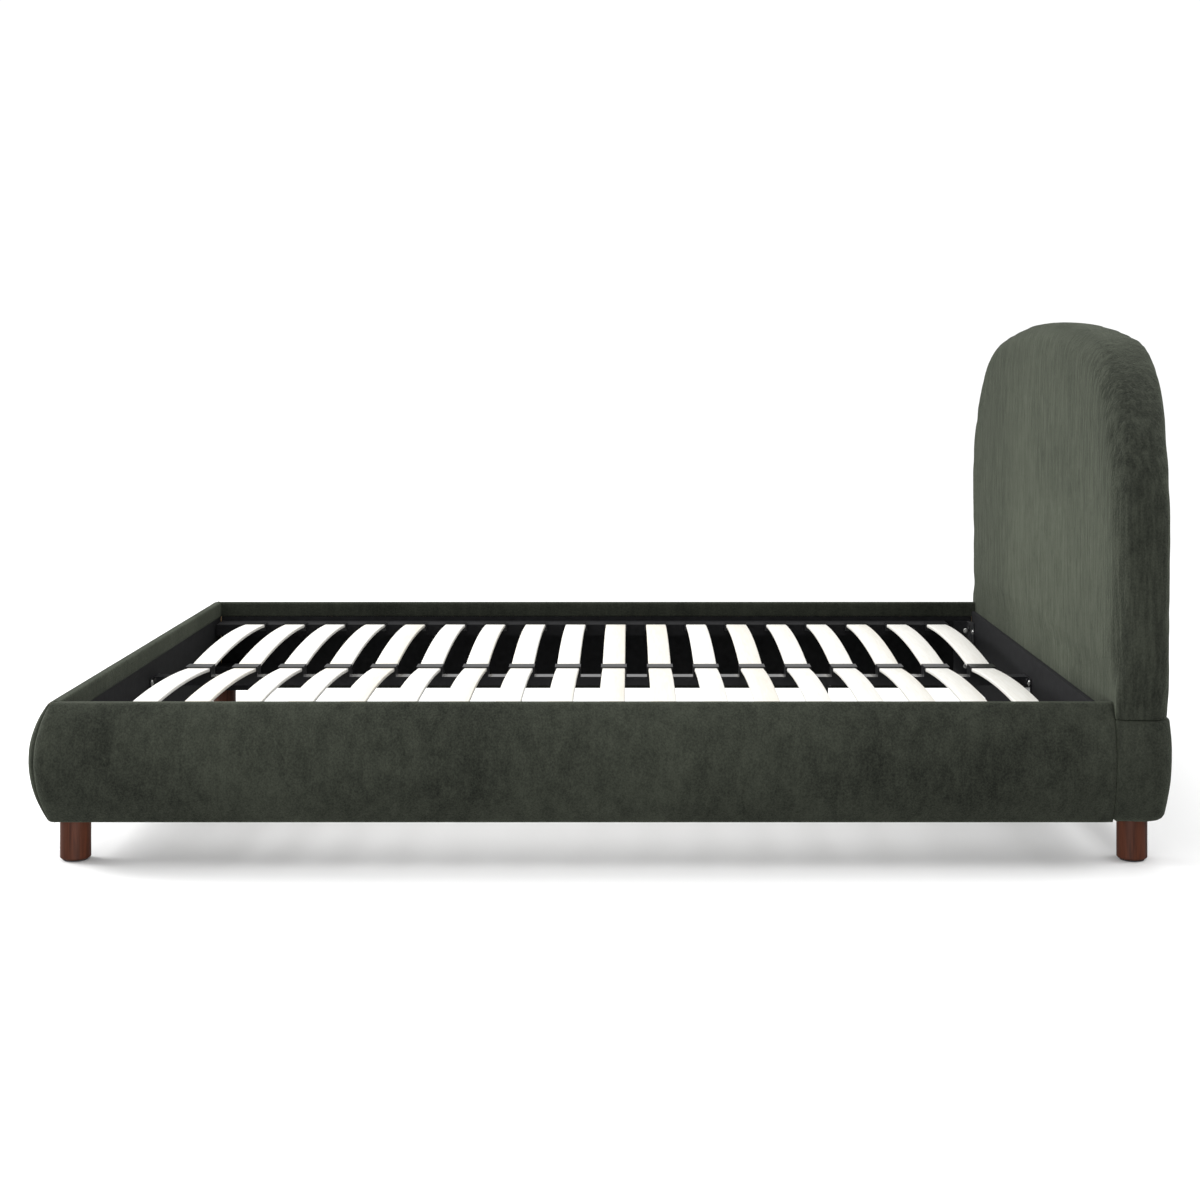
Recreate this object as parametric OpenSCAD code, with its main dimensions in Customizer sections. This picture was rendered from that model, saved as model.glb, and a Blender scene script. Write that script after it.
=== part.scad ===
// Upholstered platform bed with an arched headboard, bulged side and foot rails,
// two rows of bowed slats on a steel centre beam, and round wooden legs.
// +X points to the head, +Z up. The origin is on the floor under the middle of the bed.

/* [Mattress recess] */
// Length of the recess, foot rail to head panel
recess_l = 2050; // [1950:1:2150]
// Width of the recess, side rail to side rail
recess_w = 1560; // [1400:1:1560]

/* [Rails] */
// Height of the top of the rails
rail_top = 320; // [300:1:340]
// Height of the underside of the rails, which the legs leave clear
rail_bottom = 85; // [70:1:100]
// Width of the flat top edge of a rail
rail_top_w = 20; // [18:1:28]
// How far a rail bulges out past its top edge
rail_bulge = 40; // [25:1:45]
// Height of the fullest point of the bulge
bulge_z = 210; // [195:1:225]
// Thickness of the upholstery cloth and its backing
cloth_t = 2; // [1.5:0.1:2.5]
// Thickness of a rail's plywood board
board_t = 15; // [12:1:15]
// How far the cloth is turned down inside a rail
turn_down = 38; // [30:1:45]

/* [Headboard] */
// Height of the headboard
head_h = 1073; // [1000:1:1150]
// Full width of the headboard
head_w = 1690; // [1680:1:1720]
// Thickness of the arched part
head_t = 105; // [100:1:115]
// Radius of the rounded shoulders
shoulder_r = 390; // [370:1:400]
// Drop from the top to where the shoulders begin
shoulder_drop = 423; // [415:1:430]
// Height of the seam above the base section
base_h = 290; // [285:1:295]
// How far the base section stands out at the back
base_proud = 6; // [4:1:10]
// Thickness of the lined panel at the head of the recess
head_panel_t = 10; // [8:1:12]

/* [Slats] */
// Number of slats in each row
slat_n = 18; // [14:1:18]
// Distance from slat to slat
slat_pitch = 107.8; // [100:0.1:110]
// Width of a slat
slat_w = 53; // [45:1:58]
// Thickness of a slat
slat_t = 8; // [7:1:9]
// Height of the crown of a slat's upper face
slat_crown = 281; // [278:1:284]
// Height of a slat's upper face at the centre beam
slat_in_z = 264; // [262:1:266]
// Height of a slat's upper face at the side ledge
slat_out_z = 270; // [268:1:272]

/* [Centre beam] */
// Width of the beam's steel tube
beam_w = 40; // [36:1:44]
// Depth of the beam's steel tube
beam_d = 20; // [18:1:24]
// Height of the top of the beam
beam_top = 245; // [243:1:247]
// Distance of each support leg from the middle of the recess
support_x = 543; // [480:1:560]

/* [Legs] */
// Diameter of a wooden leg
leg_d = 60; // [50:1:64]
// Distance of the foot legs from the foot rail's inner face
foot_leg_in = 18; // [16:1:30]
// Distance of a leg's centre from the bed's middle line
leg_y = 740; // [735:1:742]

/* [Hidden] */

$fn = 48;
gap = 0.3;                 // clearance between upholstery layers
depth_out = rail_top_w + rail_bulge;
base_t = head_t + base_proud;
fold_in = 12;              // hem of the cloth inside, under the board
total_l = depth_out + recess_l + head_panel_t + base_t;
x_foot = -total_l / 2 + depth_out;       // inner face of the foot rail
x_panel = x_foot + recess_l;             // face of the head panel
x_head = x_panel + head_panel_t;         // front plane of the headboard
x_mid = (x_foot + x_panel) / 2;          // middle of the recess
y_in = recess_w / 2;                     // inner face of a side rail

// Layers of a rail, from its inner face outwards
board_u = cloth_t + gap;                 // inner face of the board
foam_u = board_u + board_t + gap;        // inner face of the foam
foam_i = cloth_t + gap;                  // outline of the foam, in from the cloth
lining_h = rail_top - turn_down - rail_bottom - fold_in - 2 * gap;
corner_r = 10;             // radius of the foot corner at the top edge
corner_cut = 7;            // how far the foam is trimmed inside the rounded foot corner

// Arc radii of the bulge above and below its fullest point
bulge_up_r = (pow(rail_bulge, 2) + pow(rail_top - bulge_z, 2)) / (2 * rail_bulge);
bulge_low_r = (pow(rail_bulge, 2) + pow(bulge_z - rail_bottom, 2)) / (2 * rail_bulge);

// Arch of the headboard: gently curved sides, round shoulders and a flat crown
side_r = 2800;
shoulder_z = head_h - shoulder_drop;
shoulder_y = head_w / 2 - shoulder_r;
crown_r = (pow(shoulder_y, 2) + pow(shoulder_drop, 2) - pow(shoulder_r, 2))
    / (2 * (shoulder_drop - shoulder_r));
crown_a = atan2(shoulder_y, crown_r - shoulder_drop);

// Layers through the headboard, front to back
front_foam_t = 20;
frame_t = 45;
front_panel_t = 6;
rear_panel_t = 4;
x_front_panel = x_head + cloth_t + gap + front_foam_t;
x_frame = x_front_panel + front_panel_t;
x_rear_panel = x_frame + frame_t;
x_rear_foam = x_rear_panel + rear_panel_t;
rim_in = 14;               // frame outline, in from the cloth
rim_foam_in = 5;           // outline of the rim foam
front_edge_r = 38;         // rounding of the upholstered edge, front and rear
rear_edge_r = 24;
rim_w = 116;               // width of the arched rim
post_w = 100;
post_y = leg_y + 10;       // middle of a post
post_h = 700;
cross_rail_h = 60;
cross_rail_z = [95, 340, 620];

// Wooden legs, let a little into the frame, with a screw hole and a felt glide
leg_top = rail_bottom + 10;
leg_head_x = x_frame + frame_t / 2;
leg_foot_x = x_foot + foot_leg_in;
leg_screw_d = 8;
leg_screw_deep = 35;
leg_chamfer = 3;
glide_h = 3;
block_size = 90;           // blocks in the foot corners
block_h = 60;

// Bolted corner joints at the head
joint_bolt_z = [147, 243];
corner_bolt_x = x_panel - 16.5;
panel_bolt_y = 746;
bolt_hole_d = 7;
bolt_head_d = 14;
bolt_head_h = 3;
bolt_d = 6;
bracket_t = 3;
bracket_leaf = 50;
bracket_z0 = 120;
bracket_h = 150;

// Slat ledge, caps and their pockets
ledge_in = 700;
ledge_top = 270;
ledge_h = 29;
cap_w = 60;
cap_out = 11;              // how far a side cap stands out of the ledge
cap_deep = 22;             // how far it is let into the ledge
cap_h = 19;
centre_cap_w = 45;
centre_cap_h = 24;
slat_end_in = 9;
slat_end_out = ledge_in + 12;
slat_x0 = x_mid - slat_pitch * (slat_n - 1) / 2;
slat_half = (slat_end_out - slat_end_in) / 2;
slat_sag = slat_crown - (slat_in_z + slat_out_z) / 2;
slat_tilt = (slat_out_z - slat_in_z) / (2 * slat_half);

// Centre beam and the cradles at its ends
beam_bottom = beam_top - beam_d;
beam_wall = 1.5;
beam_x0 = x_foot + 6;
beam_x1 = x_panel - 4;
plug_l = 15;
cradle_reach = 55;
cradle_plate_w = 90;
cradle_plate_h = 36;
cradle_drop = 18;          // how far the end plate reaches below the beam
beam_bolt_y = 34;
beam_bolt_z = beam_bottom + 8;

// Centre support leg and its foot screw
support_d = 28;
foot_pad_h = 8;
foot_gap = 22;             // thread showing under the tube at rest
foot_thread_up = 30;       // thread inside the tube at rest
support_bottom = foot_pad_h + foot_gap;
support_wall = 1.5;
insert_h = 12;             // threaded insert in the tube's end
solid_top = 20;            // solid plug at the top of the tube
flange_d = 38;
flange_t = 3;
stud_d = 8;
thread_d = 10;
nut_h = 6.5;
nut_across = 15;

// Colours
cloth = [0.22, 0.24, 0.21];
lining = [0.06, 0.06, 0.065];
steel = [0.1, 0.1, 0.11];
foam = [0.85, 0.82, 0.7];
ply = [0.76, 0.62, 0.44];
birch = [0.95, 0.94, 0.9];
walnut = [0.3, 0.15, 0.11];
plastic = [0.12, 0.12, 0.13];
bright = [0.72, 0.72, 0.72];

// Extrudes a profile drawn in Y and Z along X
module along_x(x, l) {
    translate([x, 0, 0]) rotate([90, 0, 90]) linear_extrude(l) children();
}

// Extrudes a profile drawn in X and Z along Y, centred
module along_y(l) {
    translate([0, l / 2, 0]) rotate([90, 0, 0]) linear_extrude(l) children();
}

// ---- Rails ----

// Outer curve of a rail, inset by i, as [distance out from the inner face, height]
function bulge(i, n = 16) = [
    for (k = [0:n])
        let (z = rail_top - i - k * (rail_top - rail_bottom - 2 * i) / n)
        let (r = z > bulge_z ? bulge_up_r : bulge_low_r)
        [depth_out - r + sqrt(pow(r - i, 2) - pow(z - bulge_z, 2)), z]
];

module cover_profile() {
    polygon(concat(
        [[0, rail_top - turn_down], [0, rail_top]],
        bulge(0),
        [[0, rail_bottom], [0, rail_bottom + fold_in]],
        [[cloth_t, rail_bottom + fold_in], [cloth_t, rail_bottom + cloth_t]],
        [for (k = [16:-1:0]) bulge(cloth_t)[k]],
        [[cloth_t, rail_top - cloth_t], [cloth_t, rail_top - turn_down]]
    ));
}

module foam_profile() {
    polygon(concat([[foam_u, rail_top - foam_i]], bulge(foam_i), [[foam_u, rail_bottom + foam_i]]));
}

// Block with the same bulge on the diagonal of the far foot corner, to trim foam with
module corner_trim() {
    translate([x_foot - corner_r, y_in + corner_r, 0]) rotate([0, 0, 135])
        translate([-corner_r - corner_cut, 0, 0]) along_y(3 * recess_l)
        polygon(concat(
            [[-recess_l, rail_top - foam_i]],
            bulge(foam_i),
            [[-recess_l, rail_bottom + foam_i]]
        ));
}

// Turns a rail profile to the side rails' frame: far side, out along +Y
module side_run(x0) {
    translate([0, y_in, 0]) along_x(x0, x_head - 0.5 - x0) children();
}

// Plan of a side rail, mitred at the foot
module side_plan() {
    linear_extrude(rail_top) polygon([
        [x_foot, y_in], [x_head, y_in],
        [x_head, y_in + depth_out], [x_foot - depth_out, y_in + depth_out]
    ]);
}

module side_cover() {
    color(cloth) intersection() {
        side_run(x_foot - depth_out) cover_profile();
        side_plan();
    }
}

module side_foam() {
    color(foam) intersection() {
        side_run(x_foot - depth_out) foam_profile();
        side_plan();
        corner_trim();
    }
}

module side_board() {
    l = x_head - 2 - (x_foot - board_u - board_t);
    color(ply) difference() {
        translate([x_foot - board_u - board_t, y_in + board_u, rail_bottom + foam_i])
            cube([l, board_t, rail_top - rail_bottom - 2 * foam_i]);
        for (z = joint_bolt_z)
            translate([corner_bolt_x, y_in, z]) rotate([-90, 0, 0])
                cylinder(h = 3 * board_t, d = bolt_hole_d, center = true);
    }
}

module side_lining() {
    color(lining) difference() {
        translate([x_foot + cloth_t, y_in + gap, rail_bottom + fold_in + gap])
            cube([recess_l - cloth_t - 1, cloth_t - gap, lining_h]);
        for (z = joint_bolt_z) bracket_hole_y(corner_bolt_x, y_in, z);
    }
}

// Ledge that carries the side caps, notched for each of them
module side_ledge() {
    ledge_x0 = x_foot + 4;
    ledge_x1 = slat_x0 + slat_pitch * (slat_n - 1) + cap_w / 2 + 4;
    color(lining) difference() {
        translate([ledge_x0, ledge_in, ledge_top - ledge_h])
            cube([ledge_x1 - ledge_x0, y_in - ledge_in, ledge_h]);
        for (k = [0:slat_n - 1])
            translate([slat_x0 + k * slat_pitch - cap_w / 2 - gap, ledge_in - 1, ledge_top - cap_h + 3])
                cube([cap_w + 2 * gap, cap_deep + 1 + gap, cap_h]);
    }
}

module rail_near_cover() { mirror([0, 1, 0]) side_cover(); }
module rail_near_foam() { mirror([0, 1, 0]) side_foam(); }
module rail_near_board() { mirror([0, 1, 0]) side_board(); }
module rail_near_lining() { mirror([0, 1, 0]) side_lining(); }
module rail_near_ledge() { mirror([0, 1, 0]) side_ledge(); }
module rail_far_cover() { side_cover(); }
module rail_far_foam() { side_foam(); }
module rail_far_board() { side_board(); }
module rail_far_lining() { side_lining(); }
module rail_far_ledge() { side_ledge(); }

// Turns a rail profile to the foot rail's frame: out along -X
module foot_run() {
    translate([x_foot, 0, 0]) mirror([1, 0, 0]) along_y(2 * (y_in + depth_out)) children();
}

module foot_plan() {
    linear_extrude(rail_top) polygon([
        [x_foot, y_in], [x_foot - depth_out, y_in + depth_out],
        [x_foot - depth_out, -y_in - depth_out], [x_foot, -y_in]
    ]);
}

// Room for the tops of the foot legs, which reach a little under the foot rail
module foot_leg_room() {
    for (s = [-1, 1])
        translate([leg_foot_x, s * leg_y, rail_bottom - 1])
            cylinder(h = leg_top - rail_bottom + 1 + gap, d = leg_d + 1);
}

module foot_rail_cover() {
    color(cloth) difference() {
        intersection() {
            foot_run() cover_profile();
            foot_plan();
        }
        foot_leg_room();
    }
}

module foot_rail_foam() {
    color(foam) intersection() {
        foot_run() foam_profile();
        foot_plan();
        corner_trim();
        mirror([0, 1, 0]) corner_trim();
    }
}

module foot_rail_board() {
    w = 2 * (y_in + board_u) - 2 * gap;
    color(ply) difference() {
        translate([x_foot - board_u - board_t, -w / 2, rail_bottom + foam_i])
            cube([board_t, w, rail_top - rail_bottom - 2 * foam_i]);
        foot_leg_room();
    }
}

module foot_rail_lining() {
    w = 2 * y_in - 1;
    color(lining) translate([x_foot - cloth_t, -w / 2, rail_bottom + fold_in + gap])
        cube([cloth_t - gap, w, lining_h]);
}

// ---- Headboard ----

// Half outline of the arch inset by i, from height z0 up to the crown, as [Y, Z]
function arch_half(i, z0) = concat(
    [for (k = [0:5]) let (z = z0 + (shoulder_z - z0) * k / 6)
        [head_w / 2 - side_r + sqrt(pow(side_r - i, 2) - pow(z - shoulder_z, 2)), z]],
    [for (k = [0:14]) let (a = k * (90 - crown_a) / 14)
        [shoulder_y + (shoulder_r - i) * cos(a), shoulder_z + (shoulder_r - i) * sin(a)]],
    [for (k = [1:4]) let (a = crown_a * (1 - k / 4))
        [(crown_r - i) * sin(a), head_h - crown_r + (crown_r - i) * cos(a)]]
);

module arch(i, z0) {
    half = arch_half(i, z0);
    last = len(half) - 1;
    polygon(concat(half, [for (k = [last - 1:-1:0]) [-half[k][0], half[k][1]]]));
}

// Arched block with softened edges: plain in the middle, stepped in at both faces
module soft_arch(i, z0) {
    edge = 10;
    hull() {
        along_x(x_head + i, head_t - 2 * i) arch(i + edge, z0 + i);
        along_x(x_head + i + edge, head_t - 2 * i - 2 * edge) arch(i, z0 + i);
    }
}

module headboard_cover() {
    color(cloth) difference() {
        soft_arch(0, base_h);
        soft_arch(cloth_t, base_h - 2 * cloth_t);
    }
}

// Side profile of the base section, as wide as the rails' bulge
module base_front(i) {
    w = recess_w / 2;
    r = [for (p = bulge(i)) if (p[1] < base_h - i) p];
    polygon(concat(
        [[0, base_h - i], [w + bulge_at(base_h - i, i), base_h - i]],
        [for (p = r) [w + p[0], p[1]]],
        [for (k = [len(r) - 1:-1:0]) [-w - r[k][0], r[k][1]]],
        [[-w - bulge_at(base_h - i, i), base_h - i]]
    ));
}

function bulge_at(z, i) = depth_out - bulge_up_r + sqrt(pow(bulge_up_r - i, 2) - pow(z - bulge_z, 2));

// Back profile of the base section, in X and Z: upright, then drawn in at the bottom
module base_side(i) {
    r = base_proud + 16;
    polygon([
        [x_head + i, rail_bottom + i], [x_head + i, base_h - i],
        [x_head + base_t - base_proud - i, base_h - i],
        [x_head + base_t - i, base_h - 14],
        for (k = [0:6]) let (a = k * 90 / 6)
            [x_head + base_t - r + (r - i) * cos(a), bulge_z - 20 - (bulge_z - 20 - rail_bottom - i) * sin(a)]
    ]);
}

module base_block(i) {
    intersection() {
        along_x(x_head, base_t) base_front(i);
        along_y(2 * head_w) base_side(i);
    }
}

module leg_holes(d) {
    for (s = [-1, 1])
        translate([leg_head_x, s * leg_y, rail_bottom - 5])
            cylinder(h = leg_top - rail_bottom + 5 + gap, d = d);
}

module headboard_base_cover() {
    color(cloth) difference() {
        base_block(0);
        base_block(cloth_t);
        // open at the top, where it is stapled to the frame
        translate([x_head + cloth_t, -post_y - post_w / 2 - gap, base_h - 2 * cloth_t])
            cube([head_t - 2 * cloth_t, 2 * post_y + post_w + 2 * gap, 3 * cloth_t]);
        leg_holes(leg_d + 2);
    }
}

// Padding of the base section, behind the frame and at both ends
module headboard_base_foam() {
    z = rail_bottom + cloth_t + gap;
    color(foam) difference() {
        base_block(cloth_t + gap);
        translate([x_head - 1, -post_y - post_w / 2 - gap, z - 5])
            cube([x_rear_foam - x_head + 1, 2 * post_y + post_w + 2 * gap, base_h]);
        leg_holes(leg_d + 2);
    }
}

// Pads, drawn in towards the faces so that the headboard's edge comes out round
module headboard_front_foam() {
    color(foam) hull() {
        along_x(x_head + cloth_t + gap, 1) arch(front_edge_r + 8, base_h + gap);
        along_x(x_front_panel - gap - 2, 2) arch(rim_in, base_h + gap);
    }
}

module headboard_rear_foam() {
    color(foam) hull() {
        along_x(x_rear_foam + gap, 2) arch(rim_in, base_h + gap);
        along_x(x_head + head_t - cloth_t - gap - 1, 1) arch(rear_edge_r + 8, base_h + gap);
    }
}

module headboard_rim_foam() {
    color(foam) along_x(x_front_panel, x_rear_foam - x_front_panel) difference() {
        arch(rim_foam_in, base_h + gap);
        arch(rim_in, base_h - 1);
    }
}

module headboard_front_panel() {
    color(ply) along_x(x_front_panel, front_panel_t) arch(rim_in + gap, base_h + gap);
}

module headboard_rear_panel() {
    color(ply) along_x(x_rear_panel, rear_panel_t) arch(rim_in + gap, base_h + gap);
}

// Laminated rim that holds the arch's shape, sitting on the two posts
module headboard_arch_rim() {
    color(ply) along_x(x_frame + gap, frame_t - 2 * gap) difference() {
        arch(rim_in + gap, base_h);
        arch(rim_in + rim_w, base_h - 1);
        translate([-head_w, base_h - 2]) square([2 * head_w, post_h - base_h + 2]);
    }
}

module headboard_post(s) {
    color(ply) difference() {
        translate([x_frame + gap, s * post_y - post_w / 2, leg_top])
            cube([frame_t - 2 * gap, post_w, post_h - leg_top]);
        translate([leg_head_x, s * leg_y, leg_top - 1]) cylinder(h = leg_screw_deep + 1, d = leg_screw_d);
    }
}

module headboard_post_near() { headboard_post(-1); }
module headboard_post_far() { headboard_post(1); }

// Bottom, middle and top rails between the posts
module headboard_cross_rails() {
    w = 2 * post_y - post_w - 2 * gap;
    color(ply) for (z = cross_rail_z)
        translate([x_frame + gap, -w / 2, z]) cube([frame_t - 2 * gap, w, cross_rail_h]);
}

// Lined panel across the head of the recess
module head_panel() {
    h = base_h + 6 - rail_bottom - 10;
    color(lining) difference() {
        translate([x_panel, -y_in + gap, rail_bottom + 10]) cube([head_panel_t - 0.5, recess_w - 2 * gap, h]);
        for (s = [-1, 1], z = joint_bolt_z)
            translate([x_panel + head_panel_t / 2, s * panel_bolt_y, z]) rotate([0, 90, 0])
                cylinder(h = 2 * head_panel_t, d = bolt_hole_d, center = true);
    }
}

// ---- Corner joints ----

module bracket_hole_y(x, y, z) {
    translate([x, y, z]) rotate([90, 0, 0]) cylinder(h = 12, d = bolt_hole_d, center = true);
}

// Steel angle that joins a side rail to the head panel
module corner_bracket() {
    difference() {
        union() {
            translate([x_panel - bracket_leaf, y_in - bracket_t, bracket_z0])
                cube([bracket_leaf, bracket_t, bracket_h]);
            translate([x_panel - bracket_t, y_in - bracket_leaf, bracket_z0])
                cube([bracket_t, bracket_leaf, bracket_h]);
        }
        for (z = joint_bolt_z) {
            bracket_hole_y(corner_bolt_x, y_in - bracket_t / 2, z);
            translate([x_panel - bracket_t / 2, panel_bolt_y, z]) rotate([0, 90, 0])
                cylinder(h = 12, d = bolt_hole_d, center = true);
        }
    }
}

module corner_brackets() {
    color(steel) {
        translate([0, -gap, 0]) corner_bracket();
        mirror([0, 1, 0]) translate([0, -gap, 0]) corner_bracket();
    }
}

// Domed bolt along -X into the headboard, head towards the foot
module panel_bolt(y, z) {
    translate([x_panel - bracket_t - bolt_head_h, y, z]) rotate([0, 90, 0])
        cylinder(h = bolt_head_h, d = bolt_head_d);
    translate([x_panel - bracket_t - 0.1, y, z]) rotate([0, 90, 0])
        cylinder(h = bracket_t + head_panel_t - 1, d = bolt_d);
}

module corner_bracket_bolts() {
    color(bright) for (s = [-1, 1], z = joint_bolt_z) panel_bolt(s * panel_bolt_y, z);
}

// Bolts through the brackets into the side rails' boards
module rail_joint_bolts() {
    color(bright) for (s = [-1, 1], z = joint_bolt_z)
        mirror([0, s < 0 ? 1 : 0, 0]) translate([corner_bolt_x, y_in - gap - bracket_t, z]) {
            rotate([90, 0, 0]) cylinder(h = bolt_head_h, d = bolt_head_d);
            translate([0, -0.1, 0]) rotate([-90, 0, 0])
                cylinder(h = bracket_t + gap + board_u + board_t, d = bolt_d);
        }
}

// Blocks in the foot corners that the foot legs screw into
module foot_corner_blocks() {
    color(lining) for (s = [-1, 1])
        mirror([0, s < 0 ? 1 : 0, 0]) difference() {
            translate([x_foot + 1, y_in - block_size - 1, leg_top]) cube([block_size, block_size, block_h]);
            translate([leg_foot_x, leg_y, leg_top - 1]) cylinder(h = leg_screw_deep + 1, d = leg_screw_d);
        }
}

// ---- Centre beam and its supports ----

module centre_beam() {
    l = beam_x1 - beam_x0;
    color(steel) difference() {
        translate([beam_x0, -beam_w / 2, beam_bottom]) cube([l, beam_w, beam_d]);
        translate([beam_x0 - 1, -beam_w / 2 + beam_wall, beam_bottom + beam_wall])
            cube([l + 2, beam_w - 2 * beam_wall, beam_d - 2 * beam_wall]);
        for (s = [-1, 1])
            translate([x_mid + s * support_x, 0, beam_bottom - 1])
                cylinder(h = 2 + beam_wall, d = stud_d + 1);
    }
}

module beam_end_plugs() {
    inset = beam_wall + gap / 2;
    color(plastic) for (x = [beam_x0, beam_x1 - plug_l])
        translate([x, -beam_w / 2 + inset, beam_bottom + inset])
            cube([plug_l, beam_w - 2 * inset, beam_d - 2 * inset]);
}

// Steel cradle at each end of the beam: a floor under it and a plate on the end wall
module beam_bracket(wall_x, dir) {
    difference() {
        union() {
            translate([wall_x + (dir > 0 ? 0 : -bracket_t), -cradle_plate_w / 2, beam_bottom - cradle_drop])
                cube([bracket_t, cradle_plate_w, cradle_plate_h]);
            translate([wall_x + (dir > 0 ? 0 : -cradle_reach), -beam_w / 2 - 4, beam_bottom - bracket_t - 1])
                cube([cradle_reach, beam_w + 8, bracket_t + 1 - gap]);
        }
        for (s = [-1, 1])
            translate([wall_x, s * beam_bolt_y, beam_bolt_z]) rotate([0, 90, 0])
                cylinder(h = 20, d = bolt_hole_d, center = true);
    }
}

module beam_brackets() {
    color(steel) {
        beam_bracket(x_foot + 0.5, 1);
        beam_bracket(x_panel - 0.5, -1);
    }
}

module beam_bracket_bolts() {
    color(bright) for (x = [x_foot + 0.5 + bracket_t, x_panel - 0.5 - bracket_t - bolt_head_h], s = [-1, 1])
        translate([x, s * beam_bolt_y, beam_bolt_z]) rotate([0, 90, 0])
            cylinder(h = bolt_head_h, d = bolt_head_d);
}

// Steel leg under the beam, with a threaded insert at the bottom and a stud at the top
module support_leg(x) {
    top = beam_bottom - 1;
    color(steel) {
        difference() {
            translate([x, 0, support_bottom]) cylinder(h = top - flange_t - support_bottom, d = support_d);
            translate([x, 0, support_bottom + insert_h])
                cylinder(h = top - flange_t - solid_top - support_bottom - insert_h,
                         d = support_d - 2 * support_wall);
            translate([x, 0, support_bottom - 1]) cylinder(h = insert_h + 2, d = thread_d + 0.1);
        }
        translate([x, 0, top - flange_t]) cylinder(h = flange_t + 1, d = flange_d);
        translate([x, 0, top]) cylinder(h = 1 + beam_wall + 8, d = stud_d);
    }
}

module support_leg_head() { support_leg(x_mid + support_x); }
module support_leg_foot() { support_leg(x_mid - support_x); }

// Nuts inside the beam that hold the support legs' studs
module support_leg_nuts() {
    color(bright) for (s = [-1, 1])
        translate([x_mid + s * support_x, 0, beam_bottom + beam_wall + gap]) difference() {
            cylinder(h = nut_h, d = nut_across, $fn = 6);
            translate([0, 0, -1]) cylinder(h = nut_h + 2, d = stud_d + 0.1);
        }
}

// Screw foot: a round pad on a threaded stem that runs up into the support leg
module levelling_foot(x) {
    color(plastic) translate([x, 0, 0]) {
        cylinder(h = 3, d1 = 34, d2 = 36);
        translate([0, 0, 3]) cylinder(h = foot_pad_h - 3, d1 = 36, d2 = 26);
    }
    color(bright) translate([x, 0, foot_pad_h]) cylinder(h = foot_gap + foot_thread_up, d = thread_d);
}

module levelling_foot_head() { levelling_foot(x_mid + support_x); }
module levelling_foot_foot() { levelling_foot(x_mid - support_x); }

// ---- Slats ----

// Height of a slat's upper face at distance y from the middle line
function slat_z(y) =
    let (u = (y - slat_end_in - slat_half) / slat_half)
    (slat_in_z + slat_out_z) / 2 + slat_tilt * (y - slat_end_in - slat_half) + slat_sag * (1 - u * u);

module slat_row() {
    n = 16;
    ys = [for (k = [0:n]) slat_end_in + 2 * slat_half * k / n];
    color(birch) for (k = [0:slat_n - 1])
        along_x(slat_x0 + k * slat_pitch - slat_w / 2, slat_w)
            polygon(concat(
                [for (y = ys) [y, slat_z(y)]],
                [for (j = [n:-1:0]) [ys[j], slat_z(ys[j]) - slat_t]]
            ));
}

module slats_near() { mirror([0, 1, 0]) slat_row(); }
module slats_far() { slat_row(); }

// Moulded holder at the ledge, with a pocket for the slat's end
module side_caps() {
    z0 = ledge_top - cap_h + 3 + gap;
    color(plastic) for (k = [0:slat_n - 1])
        translate([slat_x0 + k * slat_pitch, 0, 0]) difference() {
            translate([-cap_w / 2, ledge_in - cap_out, z0]) cube([cap_w, cap_out + cap_deep, cap_h]);
            translate([-slat_w / 2 - gap, ledge_in - cap_out - 1, slat_out_z - slat_t - 1])
                cube([slat_w + 2 * gap, slat_end_out - ledge_in + cap_out + 2, slat_t + 3.6]);
        }
}

module side_caps_near() { mirror([0, 1, 0]) side_caps(); }
module side_caps_far() { side_caps(); }

// Double holder on the beam, with a pocket for each row
module centre_caps() {
    color(plastic) for (k = [0:slat_n - 1])
        translate([slat_x0 + k * slat_pitch, 0, 0]) difference() {
            translate([-cap_w / 2, -centre_cap_w / 2, beam_top]) cube([cap_w, centre_cap_w, centre_cap_h]);
            for (s = [-1, 1])
                mirror([0, s < 0 ? 1 : 0, 0])
                    translate([-slat_w / 2 - gap, slat_end_in - 0.5, slat_in_z - slat_t - 1])
                    cube([slat_w + 2 * gap, centre_cap_w, slat_t + 2.6]);
        }
}

// ---- Legs ----

// Turned leg: a plain cylinder with a small chamfer at its foot
module leg(x, s) {
    color(walnut) translate([x, s * leg_y, glide_h]) difference() {
        union() {
            cylinder(h = leg_chamfer, d1 = leg_d - 2 * leg_chamfer, d2 = leg_d);
            translate([0, 0, leg_chamfer]) cylinder(h = leg_top - glide_h - leg_chamfer, d = leg_d);
        }
        translate([0, 0, leg_top - glide_h - leg_screw_deep])
            cylinder(h = leg_screw_deep + 5, d = leg_screw_d);
    }
}

module leg_foot_near() { leg(leg_foot_x, -1); }
module leg_foot_far() { leg(leg_foot_x, 1); }
module leg_head_near() { leg(leg_head_x, -1); }
module leg_head_far() { leg(leg_head_x, 1); }

module leg_hanger_bolts() {
    color(bright) for (x = [leg_foot_x, leg_head_x], s = [-1, 1])
        translate([x, s * leg_y, leg_top - leg_screw_deep + 1])
            cylinder(h = 2 * leg_screw_deep - 2, d = leg_screw_d - 0.4);
}

// Felt glides glued under the legs
module leg_glides() {
    color(lining) for (x = [leg_foot_x, leg_head_x], s = [-1, 1])
        translate([x, s * leg_y, 0]) cylinder(h = glide_h, d = leg_d - 12);
}

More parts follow.
